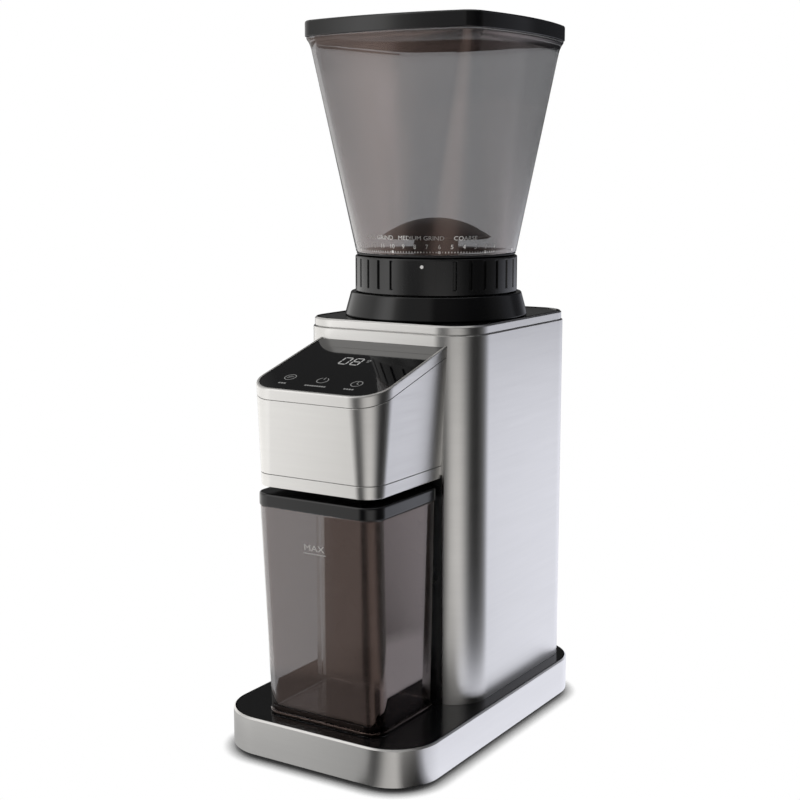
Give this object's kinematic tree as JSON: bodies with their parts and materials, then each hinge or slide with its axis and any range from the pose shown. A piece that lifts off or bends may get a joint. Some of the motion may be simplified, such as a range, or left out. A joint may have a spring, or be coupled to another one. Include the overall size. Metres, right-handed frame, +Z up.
{
  "type": "burr coffee grinder",
  "caption": "Upright conical burr coffee grinder: steel tower and control head on a flat base, flared clear bean hopper with lid, ribbed grind ring, and a clear slide-out grounds bin.",
  "frame": {"origin": "centre of the base's footprint at the level the feet stand on", "axes": "+Z up, -Y towards the user (the bin and control head), +X to the user's right"},
  "size_m": [0.1304, 0.2038, 0.405],
  "materials": {
    "brushed_steel": "fine horizontal brushing",
    "gloss_black": "gloss",
    "satin_black": "satin",
    "dark_plastic": "moulded, fine texture",
    "touch_glass": "black-backed gloss",
    "smoke_clear": "smoky clear, polished",
    "rubber": "matte",
    "felt": "pressed felt",
    "plated_steel": "zinc plated",
    "burr_steel": "ground",
    "cast_aluminium": "as cast",
    "bronze": "sintered",
    "ferrite": "ground ferrite",
    "gear_acetal": "moulded",
    "circuit_board": "solder mask"
  },
  "bodies": {
    "housing": {"base_band": "brushed_steel", "base_tray": "gloss_black", "base_underplate": "dark_plastic", "feet": "rubber", "base_screws": "plated_steel", "tower_wrap": "brushed_steel", "tower_trim_band": "brushed_steel", "tower_top_plate": "gloss_black", "tower_front_panel": "satin_black", "rear_vent_panel": "satin_black", "cord_gland": "dark_plastic", "chassis": "dark_plastic", "bin_sensor_switch": "dark_plastic", "head_top_frame": "brushed_steel", "head_shell": "brushed_steel", "head_lower_trim": "brushed_steel", "control_glass": "touch_glass", "control_board": "circuit_board", "digit_display": "dark_plastic", "touch_sensors": "circuit_board", "head_bottom_cover": "satin_black", "grounds_chute": "dark_plastic", "chute_seal": "rubber", "motor_can": "plated_steel", "motor_screws": "plated_steel", "motor_end_bell": "dark_plastic", "motor_brushes": "dark_plastic", "motor_bushes": "bronze", "motor_magnets": "ferrite", "gearbox_case": "dark_plastic", "gearbox_cover": "dark_plastic", "shaft_bearings": "plated_steel", "gear_pin": "plated_steel", "gearbox_isolators": "rubber", "gearbox_screws": "plated_steel", "grinding_chamber": "cast_aluminium", "shaft_seal": "felt", "collar": "gloss_black", "detent_ball": "plated_steel", "detent_spring": "plated_steel", "power_board": "circuit_board", "board_components": "dark_plastic"},
    "motor_rotor": {"motor_armature": "plated_steel", "motor_pinion": "plated_steel"},
    "reduction": {"reduction_gear": "gear_acetal"},
    "burr_spindle": {"output_gear": "gear_acetal", "burr_shaft": "plated_steel", "impeller": "dark_plastic", "conical_burr": "burr_steel", "burr_nut": "plated_steel"},
    "grind_ring": {"adjusting_ring": "satin_black"},
    "burr_carrier": {"burr_carrier": "dark_plastic", "ring_burr": "burr_steel"},
    "hopper": {"hopper": "smoke_clear", "hopper_base": "dark_plastic", "bean_guard": "dark_plastic"},
    "hopper_lid": {"hopper_lid": "gloss_black"},
    "bin": {"grounds_bin": "smoke_clear", "bin_lid": "gloss_black"},
    "bin_sensor_pin": {"bin_sensor_plunger": "dark_plastic"}
  },
  "joints": [
    {"name": "motor_spin", "type": "hinge", "parent": "housing", "child": "motor_rotor", "pos_m": [0, 0.0308, 0.12], "axis": [0, 0, 1], "continuous": true},
    {"name": "reduction_spin", "type": "hinge", "parent": "housing", "child": "reduction", "pos_m": [0, 0.0608, 0.165], "axis": [0, 0, 1], "continuous": true},
    {"name": "burr_spin", "type": "hinge", "parent": "housing", "child": "burr_spindle", "pos_m": [0, 0.0308, 0.2], "axis": [0, 0, 1], "continuous": true},
    {"name": "grind_ring_turn", "type": "hinge", "parent": "housing", "child": "grind_ring", "pos_m": [0, 0.0308, 0.26], "axis": [0, 0, 1], "range_deg": [-84.5, 50.75]},
    {"name": "burr_carrier_lift", "type": "slide", "parent": "housing", "child": "burr_carrier", "axis": [0, 0, 1], "range_m": [-0.00046875, 0.00028125]},
    {"name": "hopper_lift_off", "type": "slide", "parent": "burr_carrier", "child": "hopper", "axis": [0, 0, 1], "range_m": [0, 0.09]},
    {"name": "hopper_lid_lift_off", "type": "slide", "parent": "hopper", "child": "hopper_lid", "axis": [0, 0, 1], "range_m": [0, 0.06]},
    {"name": "bin_slide_out", "type": "slide", "parent": "housing", "child": "bin", "axis": [0, -1, 0], "range_m": [0, 0.11]},
    {"name": "bin_sensor_press", "type": "slide", "parent": "housing", "child": "bin_sensor_pin", "axis": [0, 1, 0], "range_m": [0, 0.0015], "stiffness_N_per_m": 300, "springref_m": -0.001}
  ],
  "couplings": [
    {"joint": "reduction_spin", "follows": "motor_spin", "ratio": -0.25},
    {"joint": "burr_spin", "follows": "motor_spin", "ratio": 0.083333},
    {"joint": "grind_ring_turn", "follows": "burr_carrier_lift", "rad_per_m": 3141.6}
  ]
}
